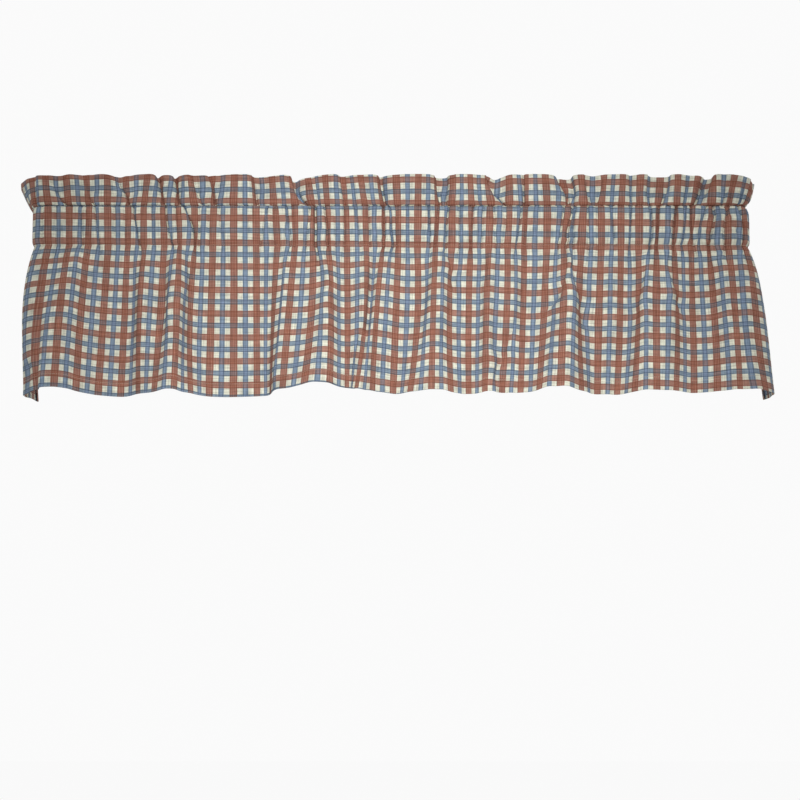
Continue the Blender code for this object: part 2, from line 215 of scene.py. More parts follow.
DRAWN_IN = 0.0090       # how much further the upper seam draws the cloth in on the right return
DRAWN_BELOW = 0.012     # how far that reaches down the pocket
DRAWN_ABOVE = 0.030     # and up the heading
RIGHT_CORNER = 38.3     # and where along the cloth that return begins, in repeats
PUCKER = 0.0007         # height of the puckers along the seams, before the stitching's pull is counted
SHORT = 0.0092          # length of the short ones
LONG = 0.0143           # and of the long ones among them
STEEPEST = 0.97         # slope toward or away from the wall, along the cloth, at most
CREASE = 0.0010         # softness of a gather's crease
RUFFLE_SOFT = 0.0025    # and of the heading's waves
FOLD_SOFT = 0.0030      # softness of the skirt's folds under the seam
HEM_SOFT = 0.0038       # and how much softer they are at the hem
FADE = 0.22             # share of the skirt over which the pocket's gathers fade out
MIDDLE = 0.40           # share of the skirt at which the "mid" columns hold
FINE = 48               # samples in a repeat when a level is worked out
TURN = 0.0008           # inside radius of a folded edge
HEM_UP = 0.0245         # depth of the turned hem
SIDE_HEM = 0.0120       # depth of the turned side hems
COLUMNS = 1000          # columns of the mesh across the cloth, before those at its folded sides

# A fold line of the skirt: where it is along the cloth at the seam, the middle and the hem, in repeats, and
# how far it stands out from the pocket at the middle and at the hem, in mm.
Fold = namedtuple("Fold", "seam mid hem out_mid out_hem")
FOLDS = [
    Fold(-2.80, -2.80, -2.80, 11, -2), Fold(-1.80, -1.80, -1.80, 14, 2), Fold(-1.20, -1.20, -1.20, 17, 8),
    Fold(-0.70, -0.70, -0.70, 20, 15), Fold(-0.30, -0.35, -0.30, 24, 31), Fold(0.50, 0.10, 0.00, 27, 50),
    Fold(1.30, 0.75, 0.45, 38, 61), Fold(1.75, 1.20, 0.90, 39, 60), Fold(2.30, 2.10, 2.00, 20, 41),
    Fold(3.00, 3.00, 2.90, 10, 19), Fold(4.20, 4.10, 4.00, 2, 1), Fold(4.48, 4.45, 4.45, 4, 8),
    Fold(4.98, 5.05, 5.20, 25, 27), Fold(6.10, 6.10, 6.00, 9, 42), Fold(6.55, 6.65, 6.60, 33, 53),
    Fold(7.10, 7.10, 7.00, 34, 49), Fold(8.00, 8.00, 7.90, 5, 30), Fold(8.60, 8.50, 9.00, 1, 7),
    Fold(9.50, 9.50, 9.70, 0, 0), Fold(11.50, 11.75, 11.60, 1, 13), Fold(12.60, 12.50, 12.50, 21, 48),
    Fold(13.50, 13.50, 13.40, 22, 62), Fold(14.40, 14.22, 13.95, 27, 75), Fold(14.95, 14.78, 14.62, 42, 83),
    Fold(15.60, 15.62, 15.60, 21, 64), Fold(16.20, 16.10, 15.95, 21, 58), Fold(17.00, 16.85, 16.25, 35, 61),
    Fold(17.50, 17.35, 16.70, 17, 43), Fold(18.00, 17.80, 17.15, 29, 55), Fold(18.90, 18.80, 18.20, 19, 30),
    Fold(19.60, 19.40, 19.10, 12, 22), Fold(20.50, 20.32, 20.00, 15, 42), Fold(20.95, 20.80, 20.45, 32, 45),
    Fold(21.50, 21.45, 21.10, 34, 47), Fold(21.95, 22.10, 21.95, 17, 38), Fold(23.00, 23.00, 22.90, 15, 22),
    Fold(23.78, 23.65, 23.50, 16, 30), Fold(24.15, 24.05, 24.35, 30, 47), Fold(24.60, 24.45, 24.98, 18, 25),
    Fold(25.45, 25.40, 25.50, 17, 32), Fold(26.00, 26.00, 26.20, 2, 34), Fold(26.60, 26.60, 26.60, 3, 37),
    Fold(27.60, 27.40, 26.95, 14, 47), Fold(28.15, 28.05, 27.45, 33, 58), Fold(28.42, 28.50, 28.20, 34, 65),
    Fold(29.10, 29.35, 29.40, 3, 34), Fold(30.00, 29.95, 29.85, 0, 19), Fold(30.70, 30.60, 30.40, 9, 28),
    Fold(31.30, 31.20, 30.95, 0, 18), Fold(31.80, 31.60, 31.40, 2, 25), Fold(32.50, 32.40, 31.95, 28, 40),
    Fold(33.10, 33.10, 32.80, 23, 49), Fold(33.60, 33.62, 33.40, 27, 49), Fold(34.05, 34.25, 34.20, 6, 39),
    Fold(35.00, 35.00, 35.00, 2, 29), Fold(35.90, 35.95, 35.80, 9, 40), Fold(36.60, 36.65, 36.50, 28, 47),
    Fold(37.40, 37.40, 37.50, 30, 52), Fold(38.00, 38.00, 38.00, 30, 45), Fold(38.70, 38.60, 38.60, 26, 42),
    Fold(39.20, 39.10, 39.20, 24, 38), Fold(39.90, 39.80, 40.00, 21, 35), Fold(40.90, 40.90, 40.90, 19, 30),
]

# A wrinkle of the pocket or the skirt, between two places on the cloth, in repeats along it and mm below its
# top edge: how far its middle bows to the right, in repeats, and how deep it is and how far its gentle side
# runs out, in mm. The gentle side is the right one, or the left one where that is below nought.
Wrinkle = namedtuple("Wrinkle", "start below end to bow deep gentle")
WRINKLES = [
    Wrinkle(7.60, 88, 8.00, 135, 0.05, 3, -5), Wrinkle(12.20, 90, 12.55, 138, 0.00, 3, 6),
    Wrinkle(14.85, 86, 15.10, 139, -0.05, 2, 5), Wrinkle(18.25, 98, 17.75, 140, 0.00, 3, -6),
    Wrinkle(20.60, 96, 20.25, 139, 0.05, 2, -5), Wrinkle(24.60, 68, 24.85, 108, 0.00, 2, 5),
    Wrinkle(28.25, 104, 27.90, 139, 0.00, 2, -5), Wrinkle(33.50, 88, 33.80, 136, 0.05, 2, 5),
    Wrinkle(36.15, 66, 35.85, 102, 0.00, 3, 6), Wrinkle(35.80, 102, 35.50, 136, 0.00, 3, -6),
    Wrinkle(36.75, 64, 37.10, 94, 0.00, 3, 6), Wrinkle(37.25, 102, 37.60, 137, 0.05, 3, 6),
    Wrinkle(0.50, 150, -0.60, 190, 0.00, 3, 8), Wrinkle(7.40, 136, 7.85, 250, 0.20, 4, -8),
    Wrinkle(12.30, 140, 12.20, 398, 0.20, 3, -9), Wrinkle(14.75, 136, 15.05, 240, 0.00, 4, 8),
    Wrinkle(17.50, 136, 17.30, 210, 0.35, 3, 7), Wrinkle(16.75, 290, 16.20, 400, 0.10, 4, 8),
    Wrinkle(21.50, 136, 22.25, 240, 0.20, 4, 9), Wrinkle(23.75, 136, 24.05, 262, 0.00, 3, 8),
    Wrinkle(25.75, 262, 24.60, 400, -0.20, 4, -9), Wrinkle(28.45, 136, 29.70, 300, -0.25, 6, 10),
    Wrinkle(28.10, 170, 26.50, 278, 0.50, 5, -10), Wrinkle(32.45, 160, 31.85, 268, 0.05, 4, -10),
    Wrinkle(33.60, 150, 34.85, 284, -0.35, 5, 9), Wrinkle(35.00, 136, 35.15, 300, 0.00, 2, 6),
    Wrinkle(36.65, 138, 37.05, 205, 0.05, 3, 7), Wrinkle(38.80, 128, 39.80, 176, 0.00, 4, -8),
]

# A gather of the pocket: where along the cloth it crosses the upper and the lower seam, in repeats, and how
# much cloth it takes up, in mm. Its middle may bow to the right, in repeats.
Tuck = namedtuple("Tuck", "upper lower takes bow", defaults=[0])
TUCKS = [
    Tuck(-2.1, -2.1, 4), Tuck(-1.5, -1.5, 5), Tuck(-0.3, -0.3, 5), Tuck(0.35, 0.4, 4), Tuck(0.9, 0.91, 3),
    Tuck(1.5, 1.7, 5), Tuck(1.8, 2.05, 4), Tuck(2.3, 2.55, 6), Tuck(3.3, 3.35, 4), Tuck(3.8, 3.9, 4),
    Tuck(4.3, 4.7, 8), Tuck(5.4, 5.5, 4), Tuck(6.2, 6.5, 8, -0.08), Tuck(6.8, 6.95, 5),
    Tuck(7.3, 7.95, 8, 0.1), Tuck(8.2, 8.3, 5), Tuck(8.7, 8.8, 4), Tuck(9.25, 9.5, 5), Tuck(10.6, 10.6, 3),
    Tuck(11.6, 11.2, 5), Tuck(11.9, 11.87, 4), Tuck(12.1, 12.15, 4), Tuck(12.5, 12.68, 8),
    Tuck(12.85, 12.93, 5), Tuck(13.8, 13.6, 6), Tuck(14.2, 14.27, 13), Tuck(14.8, 14.93, 8),
    Tuck(15.35, 15.4, 4), Tuck(15.9, 15.85, 6), Tuck(16.5, 16.65, 5), Tuck(17.2, 17.2, 6),
    Tuck(17.95, 18.0, 9, 0.1), Tuck(18.5, 18.57, 9), Tuck(18.9, 18.88, 6), Tuck(19.5, 19.55, 4),
    Tuck(20.5, 20.63, 7), Tuck(21.05, 20.95, 6), Tuck(21.8, 21.65, 9, -0.1), Tuck(22.4, 22.4, 6),
    Tuck(23.15, 23.03, 7), Tuck(23.7, 23.63, 5), Tuck(24.15, 24.37, 5), Tuck(24.75, 24.7, 4, 0.1),
    Tuck(25.75, 25.5, 7), Tuck(26.0, 26.07, 5), Tuck(26.6, 26.6, 3), Tuck(27.8, 27.65, 7),
    Tuck(28.45, 28.2, 9, -0.1), Tuck(28.55, 28.62, 7), Tuck(29.25, 29.35, 6), Tuck(29.8, 29.8, 4),
    Tuck(30.5, 30.65, 6), Tuck(31.6, 31.48, 7), Tuck(32.5, 32.55, 9, 0.08), Tuck(33.07, 33.0, 8),
    Tuck(34.0, 33.92, 10, -0.1), Tuck(34.45, 34.5, 6), Tuck(34.9, 35.17, 8, -0.12),
    Tuck(35.8, 35.53, 6, -0.15), Tuck(36.15, 36.03, 10, 0.15), Tuck(36.5, 36.38, 5),
    Tuck(37.1, 36.85, 7, -0.15), Tuck(37.55, 37.77, 9, 0.15), Tuck(38.2, 38.5, 7, 0.1), Tuck(39.5, 39.5, 5),
    Tuck(40.2, 40.2, 4),
]

# A pleat that the gathers throw up the heading: where along the cloth it starts at the upper seam and ends
# at the top edge, in repeats, and how much cloth it takes up at each, in mm.
Pleat = namedtuple("Pleat", "seam top takes at_top")
PLEATS = [
    Pleat(-1.7, -1.7, 4, 0), Pleat(-0.75, -0.8, 8, 2), Pleat(0.86, 0.1, 8, 2), Pleat(2.3, 1.84, 7, 2),
    Pleat(3.3, 3.1, 3, 0), Pleat(4.24, 3.42, 10, 3), Pleat(5.2, 4.9, 3, 0), Pleat(6.2, 5.76, 8, 5),
    Pleat(7.3, 6.82, 10, 6), Pleat(8.45, 8.1, 8, 2), Pleat(9.25, 8.85, 11, 5), Pleat(10.3, 10.2, 3, 0),
    Pleat(11.2, 11.05, 10, 6), Pleat(11.63, 11.3, 5, 1), Pleat(12.5, 12.5, 3, 0), Pleat(13.7, 13.2, 14, 8),
    Pleat(14.43, 14.3, 6, 2), Pleat(15.95, 15.86, 8, 5), Pleat(16.55, 16.4, 5, 1), Pleat(17.3, 17.3, 4, 1),
    Pleat(18.32, 18.14, 12, 7), Pleat(19.4, 19.3, 3, 0), Pleat(20.3, 20.2, 4, 1), Pleat(21.36, 21.05, 13, 7),
    Pleat(21.65, 21.6, 9, 6), Pleat(22.2, 22.1, 5, 0), Pleat(23.44, 23.4, 6, 2), Pleat(24.75, 24.0, 12, 5),
    Pleat(25.78, 25.82, 12, 6), Pleat(27.0, 27.0, 3, 0), Pleat(28.3, 27.7, 14, 7), Pleat(28.55, 28.3, 9, 4),
    Pleat(29.45, 29.15, 8, 3), Pleat(29.68, 29.9, 8, 3), Pleat(30.6, 30.6, 4, 1), Pleat(31.55, 31.5, 6, 3),
    Pleat(31.85, 32.1, 5, 1), Pleat(32.53, 32.45, 10, 6), Pleat(33.2, 33.45, 10, 6),
    Pleat(34.38, 34.6, 7, 2), Pleat(35.2, 35.5, 13, 6), Pleat(35.42, 35.9, 9, 4), Pleat(36.54, 36.85, 8, 2),
    Pleat(37.06, 37.05, 6, 2), Pleat(37.52, 37.55, 8, 3), Pleat(37.84, 38.0, 9, 3), Pleat(38.2, 38.9, 14, 0),
    Pleat(39.4, 39.9, 8, 1),
]

# A wave of the heading: where along the cloth at the upper seam and at the top edge, in repeats, and how far
# it stands out at the top edge, in mm. Below nought it falls back toward the wall.
Ruffle = namedtuple("Ruffle", "seam top out_top")
RUFFLES = [
    Ruffle(-2.8, -2.8, 37), Ruffle(-1.8, -1.8, 31), Ruffle(-1.2, -1.25, 17), Ruffle(-0.75, -0.8, 3),
    Ruffle(-0.5, -0.5, 3), Ruffle(0.4, 0.0, -3), Ruffle(0.9, 0.7, 0), Ruffle(1.7, 1.3, 2),
    Ruffle(2.3, 1.9, -4), Ruffle(3.2, 2.8, 2), Ruffle(4.2, 3.5, -8), Ruffle(4.7, 4.2, -3),
    Ruffle(5.5, 5.3, 4), Ruffle(6.15, 5.8, -14), Ruffle(6.5, 6.2, -4), Ruffle(6.8, 6.5, -2),
    Ruffle(7.3, 6.85, -14), Ruffle(7.7, 7.5, -4), Ruffle(8.2, 8.0, 0), Ruffle(8.45, 8.2, -5),
    Ruffle(8.9, 8.6, -1), Ruffle(9.2, 8.95, -7), Ruffle(9.7, 9.6, -2), Ruffle(10.6, 10.7, 2),
    Ruffle(11.0, 10.95, 0), Ruffle(11.25, 11.15, -17), Ruffle(11.7, 11.6, -16), Ruffle(12.3, 12.3, -6),
    Ruffle(13.15, 13.0, 4), Ruffle(13.65, 13.3, -25), Ruffle(14.4, 14.3, -13), Ruffle(15.3, 15.4, 4),
    Ruffle(15.9, 15.8, -6), Ruffle(16.1, 16.0, -15), Ruffle(16.6, 16.6, -5), Ruffle(17.5, 17.6, 3),
    Ruffle(18.1, 18.0, 0), Ruffle(18.35, 18.2, -17), Ruffle(18.8, 18.7, -5), Ruffle(19.6, 19.6, 3),
    Ruffle(20.6, 20.7, 2), Ruffle(21.0, 20.95, 1), Ruffle(21.35, 21.2, -24), Ruffle(21.55, 21.5, -22),
    Ruffle(21.75, 21.75, -2), Ruffle(22.4, 22.4, 3), Ruffle(23.3, 23.3, 1), Ruffle(23.9, 23.7, -3),
    Ruffle(24.3, 23.95, 0), Ruffle(24.75, 24.4, -16), Ruffle(25.1, 25.0, -2), Ruffle(26.4, 26.4, 4),
    Ruffle(27.5, 27.2, 0), Ruffle(28.1, 27.65, -7), Ruffle(28.4, 28.15, -26), Ruffle(28.6, 28.35, -20),
    Ruffle(28.8, 28.65, -4), Ruffle(29.1, 29.05, 1), Ruffle(29.5, 29.5, -14), Ruffle(29.9, 29.95, 0),
    Ruffle(30.8, 30.9, 3), Ruffle(31.3, 31.2, 0), Ruffle(31.6, 31.5, -9), Ruffle(32.0, 32.0, 0),
    Ruffle(32.35, 32.35, 2), Ruffle(32.55, 32.6, -15), Ruffle(33.2, 33.25, -16), Ruffle(33.4, 33.5, -1),
    Ruffle(33.9, 34.0, 3), Ruffle(34.5, 34.6, -6), Ruffle(34.9, 35.0, -3), Ruffle(35.2, 35.45, -17),
    Ruffle(35.4, 35.75, -16), Ruffle(35.55, 36.0, 2), Ruffle(36.4, 36.5, 6), Ruffle(37.1, 37.2, 3),
    Ruffle(38.0, 38.05, 12), Ruffle(38.6, 38.5, 17), Ruffle(39.1, 39.0, 18), Ruffle(39.8, 39.7, 14),
    Ruffle(40.9, 40.9, 8),
]

# Where a place on the cloth ends up: repeats along the cloth, and mm along the rod line from its middle at
# the top edge, the upper seam, the lower seam, the middle of the skirt and the hem.
Pin = namedtuple("Pin", "at top upper lower mid hem")
PINS = [
    Pin(-2.8, -684, -692, -692, -681, -674), Pin(-1.8, -643, -651, -651, -639, -636),
    Pin(-1.2, -626, -626, -626, -622, -622), Pin(-0.7, -617, -613, -614, -614, -614),
    Pin(0.0, -602, -594, -593, -598, -598), Pin(1.0, -565, -558, -557, -563, -569),
    Pin(2.0, -531, -524, -524, -530, -535), Pin(3.0, -493, -492, -489, -493, -500),
    Pin(4.0, -463, -455, -456, -458, -463), Pin(5.0, -423, -429, -428, -432, -431),
    Pin(6.0, -402, -395, -392, -395, -402), Pin(7.0, -373, -370, -366, -364, -367),
    Pin(8.0, -351, -341, -339, -346, -341), Pin(9.0, -312, -307, -309, -310, -312),
    Pin(10.0, -272, -273, -272, -271, -270), Pin(11.0, -242, -234, -233, -231, -228),
    Pin(12.0, -208, -202, -197, -202, -205), Pin(13.0, -174, -167, -166, -174, -184),
    Pin(14.0, -145, -134, -135, -135, -146), Pin(15.0, -116, -111, -108, -102, -102),
    Pin(16.0, -84, -79, -77, -75, -73), Pin(17.0, -54, -44, -42, -41, -60),
    Pin(18.0, -22, -14, -13, -24, -32), Pin(19.0, 9, 12, 12, 9, 4), Pin(20.0, 48, 46, 45, 47, 32),
    Pin(21.0, 76, 82, 77, 73, 69), Pin(22.0, 109, 106, 105, 100, 102), Pin(23.0, 137, 140, 138, 134, 133),
    Pin(24.0, 166, 173, 169, 163, 159), Pin(25.0, 206, 206, 202, 200, 189),
    Pin(26.0, 234, 233, 230, 227, 220), Pin(27.0, 267, 271, 270, 264, 251),
    Pin(28.0, 299, 308, 299, 295, 286), Pin(29.0, 333, 334, 330, 324, 324),
    Pin(30.0, 371, 364, 364, 359, 352), Pin(31.0, 403, 399, 398, 395, 386),
    Pin(32.0, 433, 429, 428, 425, 413), Pin(33.0, 471, 464, 459, 454, 451),
    Pin(34.0, 499, 496, 489, 492, 484), Pin(35.0, 535, 522, 519, 519, 515),
    Pin(36.0, 561, 557, 549, 555, 554), Pin(37.0, 597, 584, 582, 588, 592),
    Pin(38.0, 622, 609, 610, 606, 608), Pin(38.8, 642, 622, 623, 620, 619),
    Pin(39.7, 661, 649, 649, 640, 632), Pin(40.9, 693, 691, 691, 686, 663),
]


def rod_line(r):
    """The rod line from above at distance r from the middle of the front: x, y and the outward direction."""
    flat = SPAN / 2 - CORNER
    arc = CORNER * math.pi / 2
    side = np.sign(r)
    a = np.abs(r)
    turn = np.clip((a - flat) / CORNER, 0, math.pi / 2)
    x = np.minimum(a, flat) + CORNER * np.sin(turn)
    y = CORNER * (1 - np.cos(turn)) + np.maximum(a - flat - arc, 0)
    return x * side, y, np.sin(turn) * side, -np.cos(turn)


def bend(r):
    """How sharply the rod line bends at r, eased in and out of the corners."""
    flat = SPAN / 2 - CORNER
    arc = CORNER * math.pi / 2
    a = np.abs(r)
    into = 1 / (1 + np.exp(-(a - flat) / BEND_EASE))
    out_of = 1 / (1 + np.exp(-(a - flat - arc) / BEND_EASE))
    return (into - out_of) / CORNER


def through(t, at_seam, at_mid, at_hem):
    """The smooth curve through three values, read at share t of the skirt."""
    return (at_seam * (t - MIDDLE) * (t - 1) / MIDDLE
            + at_mid * t * (t - 1) / (MIDDLE * (MIDDLE - 1))
            + at_hem * t * (t - MIDDLE) / (1 - MIDDLE))


def stands_out(t, mid, hem):
    """Depth of a fold at share t of the skirt: it grows fast under the seam and slowly below the middle."""
    fall = (hem - mid) / (1 - MIDDLE)
    at_mid = 0.4 * mid / MIDDLE + 0.5 * fall
    if t <= MIDDLE:
        q = t / MIDDLE
        return q * (1 - q) ** 2 * 1.9 * mid + q * q * (3 - 2 * q) * mid + q * q * (q - 1) * MIDDLE * at_mid
    q = (t - MIDDLE) / (1 - MIDDLE)
    w = 1 - MIDDLE
    return ((1 + 2 * q) * (1 - q) ** 2 * mid + q * (1 - q) ** 2 * w * at_mid
            + q * q * (3 - 2 * q) * hem + q * q * (q - 1) * w * fall)


def eased(values, width):
    """A level's values with their corners rounded over a width in metres."""
    step = REPEAT / FINE
    n = int(4 * width / step) + 1
    kernel = np.exp(-0.5 * (np.arange(-n, n + 1) * step / width) ** 2)
    kernel /= kernel.sum()
    left = 2 * values[0] - values[1:n + 1][::-1]
    right = 2 * values[-1] - values[-n - 1:-1][::-1]
    return np.convolve(np.concatenate([left, values, right]), kernel, mode="valid")


def grooves(u, places, takes, deep, soft, wide=0.45, reach=0.0065):
    """How far back narrow folds of the cloth lie, where each takes up so many mm of it."""
    back = np.zeros_like(u)
    for place, taken in zip(places, takes):
        half = taken * deep / 1200
        away = np.abs(u - place) * REPEAT
        crease = np.clip(half * 0.85 - away, 0, None) * 0.97
        back = np.maximum(back, crease + wide * half * np.exp(-away / reach))
    return eased(back, soft)


def gathered(u, v, share):
    """How far back the gathers pull the face at cloth height v."""
    down = min(max((v - UPPER) / POCKET, 0), 1.3)
    bowed = 4 * down * max(1 - down, 0)
    places = [tuck.upper + (tuck.lower - tuck.upper) * down + tuck.bow * bowed for tuck in TUCKS]
    return grooves(u, places, [tuck.takes for tuck in TUCKS], share, CREASE + 0.003 * (1 - share))


def pleated(u, q):
    """How far back the heading's pleats lie at share q of the way up it."""
    places = [pleat.seam + (pleat.top - pleat.seam) * q for pleat in PLEATS]
    takes = [pleat.takes + (pleat.at_top - pleat.takes) * q for pleat in PLEATS]
    return grooves(u, places, takes, 1, CREASE + 0.0006 * q, 0.8, 0.0100)


def puckered(u, v):
    """The small puckers that the stitching draws up along both seams, in metres."""
    near_upper = 2.1 * math.exp(-(abs(v - UPPER) / 0.0075) ** 1.2)
    near_lower = 0.6 * math.exp(-(abs(v - LOWER) / 0.0090) ** 1.2)
    x = u * REPEAT
    wave = np.sin(2 * math.pi * x / SHORT + 2.2 * np.sin(2 * math.pi * x / 0.061) + 40 * v)
    wave += 0.6 * np.sin(2 * math.pi * x / LONG + 1.7 * np.sin(2 * math.pi * x / 0.083) - 25 * v)
    return PUCKER * wave * (near_upper + near_lower)


def wrinkled(u, v):
    """How far back the wrinkles lie at cloth height v."""
    back = np.zeros_like(u)
    for w in WRINKLES:
        s = (1000 * v - w.below) / (w.to - w.below)
        if 0 < s < 1:
            away = (u - w.start - (w.end - w.start) * s - 4 * w.bow * s * (1 - s)) * REPEAT * 1000
            away *= math.copysign(1, w.gentle)
            side = np.where(away > 0, abs(w.gentle), 0.3 * abs(w.gentle))
            back += w.deep / 1000 * min(1, 6 * s, 3 * (1 - s)) * np.exp(-(away / side) ** 2)
    return back


def within(out):
    """A level's depths with no slope steeper than the cloth can lie."""
    limit = STEEPEST * REPEAT / FINE * np.arange(len(out))
    for sign in (1, -1):
        lower = np.minimum.accumulate(sign * out - limit) + limit
        lower = (np.minimum.accumulate(lower[::-1] - limit) + limit)[::-1]
        out = (out + sign * lower) / 2
    return out


def level(v):
    """One level of the face: samples along the cloth, how far out each lies, and where along the rod line.

    The folds take up cloth, and what is left is spread so that the pins are met, however the cloth lies.
    """
    u = FIRST + np.arange(int(round((LAST - FIRST) * FINE)) + 1) / FINE
    at = np.array([p.at for p in PINS])
    upper = np.array([p.upper for p in PINS]) / 1000
    lower = np.array([p.lower for p in PINS]) / 1000
    if v >= LOWER:
        t = (v - LOWER) / SKIRT
        folds = [through(t, f.seam, f.mid, f.hem) for f in FOLDS]
        depths = [stands_out(t, f.out_mid, f.out_hem) / 1000 for f in FOLDS]
        out = eased(np.interp(u, folds, depths), FOLD_SOFT + HEM_SOFT * t) + LOWER_OUT
        out -= gathered(u, v, math.exp(-(t / FADE) ** 1.3))
        mid = np.array([p.mid for p in PINS]) / 1000
        hem = np.array([p.hem for p in PINS]) / 1000
        goal = through(t, lower, mid, hem)
    elif v >= UPPER:
        from_upper = math.sin(min((v - UPPER) / SHOULDER, 1) * math.pi / 2)
        from_lower = math.sin(min((LOWER - v) / SHOULDER, 1) * math.pi / 2)
        out = FRONT_OUT - (FRONT_OUT - UPPER_OUT) * (1 - from_upper)
        out -= (FRONT_OUT - LOWER_OUT) * (1 - from_lower)
        back = gathered(u, v, 1)
        out -= np.minimum(back, out + 0.0030 + 0.01 * (1 - min(from_upper, from_lower)))
        goal = upper + (lower - upper) * (v - UPPER) / POCKET
    else:
        q = 1 - v / UPPER
        waves = [f.seam + (f.top - f.seam) * q for f in RUFFLES]
        depths = [f.out_top * q ** 0.8 / 1000 for f in RUFFLES]
        flare = FLARE * (1 - math.exp(-(UPPER - v) / FLARE_REACH)) * (1 - 0.6 * q)
        out = eased(np.interp(u, waves, depths), RUFFLE_SOFT) + UPPER_OUT + flare - pleated(u, q)
        goal = upper + (np.array([p.top for p in PINS]) / 1000 - upper) * q
    out -= wrinkled(u, v)
    reach = DRAWN_BELOW if v > UPPER else DRAWN_ABOVE
    out -= DRAWN_IN * math.exp(-((v - UPPER) / reach) ** 2) / (1 + np.exp((RIGHT_CORNER - u) / 0.20))
    out = within(out + puckered(u, v))
    slope = np.gradient(out, REPEAT / FINE)
    run = np.sqrt(1 - np.clip(slope, -0.985, 0.985) ** 2)
    r = np.interp(u, at, goal)
    for _ in range(3):
        rate = run / (1 + bend(r) * out)
        length = np.concatenate([[0], np.cumsum((rate[1:] + rate[:-1]) / 2)])
        r = np.interp(length, np.interp(at, u, length), goal)
    return u, out, r


def draped(across, levels):
    """The face's surface: places on a grid of repeats across it and levels down it, and its outward side."""
    rows = []
    for v in levels:
        u, out, r = level(v)
        x, y, nx, ny = rod_line(r)
        rows.append(np.stack([x + nx * out, y + ny * out], axis=1))
    plan = np.array(rows)
    step = np.diff(levels)[:, None]
    shift = np.linalg.norm(np.diff(plan, axis=0), axis=2)
    fall = np.sqrt(np.clip(step ** 2 - shift ** 2, (0.25 * step) ** 2, None))
    fall = np.array([eased(line, 0.0080 if v >= LOWER else 0.0040) for v, line in zip(levels, fall)])
    up = int(np.argmin(np.abs(levels - UPPER)))
    low = int(np.argmin(np.abs(levels - LOWER)))
    z = np.zeros(plan.shape[:2])
    z[up] = -SEAM_DROP
    for j in range(up - 1, -1, -1):
        pinched = PINCH * math.exp(-((UPPER - levels[j + 1]) / PINCH_REACH) ** 2)
        z[j] = z[j + 1] + fall[j] * (1 - pinched)
    for j in range(up, low):
        z[j + 1] = -SEAM_DROP - POCKET_DROP * fall[up:j + 1].sum(axis=0) / fall[up:low].sum(axis=0)
    for j in range(low, len(levels) - 1):
        z[j + 1] = z[j] - fall[j]
    whole = np.dstack([plan, z[:, :, None]])
    grid = np.stack([[np.interp(across, u, line) for line in whole[:, :, k]] for k in range(3)], axis=2)
    outward = np.cross(np.gradient(grid, levels, axis=0), np.gradient(grid, across, axis=1))
    return grid, outward / np.linalg.norm(outward, axis=2, keepdims=True)


def turned(edge, inward, depth, steps):
    """A folded edge: where it lies on the cloth, how far behind its face, and how far on past the edge."""
    made = []
    for k in range(1, 7):
        a = math.pi * k / 6
        made.append((edge + inward * TURN * (1 - math.sin(a)), -TURN * (1 - math.cos(a)), TURN * (a - 1)))
    for k in range(1, steps + 1):
        share = k / steps
        made.append((edge + inward * (TURN + (depth - TURN) * share), -2 * TURN - 0.0002 * share,
                     TURN * (math.pi - 1) + (depth - TURN) * share))
    return made


def spaced(*stops):
    """Values from stop to stop, with the step given between them: first, step, next, step, next."""
    values = [stops[0]]
    for step, stop in zip(stops[1::2], stops[2::2]):
        count = max(1, round((stop - values[-1]) / step))
        values += list(np.linspace(values[-1], stop, count + 1)[1:])
    return np.array(values)


def sewn_mesh(name, grid, places, material):
    """A sheet on a grid of points, with the cloth's own map in repeats and a second one in two strips."""
    rows, cols = grid.shape[:2]
    faces = [(j * cols + i, (j + 1) * cols + i, (j + 1) * cols + i + 1, j * cols + i + 1)
             for j in range(rows - 1) for i in range(cols - 1)]
    mesh = bpy.data.meshes.new(name)
    mesh.from_pydata(grid.reshape(-1, 3).tolist(), [], faces)
    corner = np.zeros(len(mesh.loops), dtype=np.int32)
    mesh.loops.foreach_get("vertex_index", corner)
    along, below = (p.reshape(-1)[corner] for p in places)
    cloth_map = mesh.uv_layers.new(name="Cloth")
    down = below / REPEAT_DOWN - BIAS * (along - 10)
    cloth_map.data.foreach_set("uv", np.stack([along, down], axis=1).astype(np.float32).ravel())
    face_of = np.repeat(np.arange(len(faces)), 4)
    half = (np.arange(len(faces)) % (cols - 1) >= (cols - 1) // 2)[face_of]
    share = (along - places[0].min()) / np.ptp(places[0])
    cut = (places[0].reshape(rows, cols)[0, (cols - 1) // 2] - places[0].min()) / np.ptp(places[0])
    s = np.where(half, (share - cut) / (1 - cut), share / cut)
    t = (below - places[1].min()) / np.ptp(places[1])
    strip = mesh.uv_layers.new(name="OFBake")
    strip_uv = np.stack([0.002 + 0.996 * s, 0.001 + 0.498 * t + 0.5 * half], axis=1)
    strip.data.foreach_set("uv", strip_uv.astype(np.float32).ravel())
    mesh.uv_layers.active = cloth_map
    cloth_map.active_render = True
    mesh.shade_smooth()
    mesh.materials.append(material)
    made = bpy.data.objects.new(name, mesh)
    bpy.context.scene.collection.objects.link(made)
    return made


def crowded(levels):
    """Columns across the cloth, closer together where it bends most."""
    bends = 0
    for v in levels:
        u, out, _ = level(v)
        bends = bends + np.minimum(np.abs(np.gradient(np.gradient(out, u), u)), 0.6) ** 0.5
    bends = eased(bends, 0.002)
    reached = np.cumsum(bends / bends.mean() + 1.2)
    columns = np.interp(np.linspace(0, 1, COLUMNS), (reached - reached[0]) / np.ptp(reached), u)
    return np.unique(np.concatenate([columns, [FIRST + TURN / REPEAT, LAST - TURN / REPEAT]]))


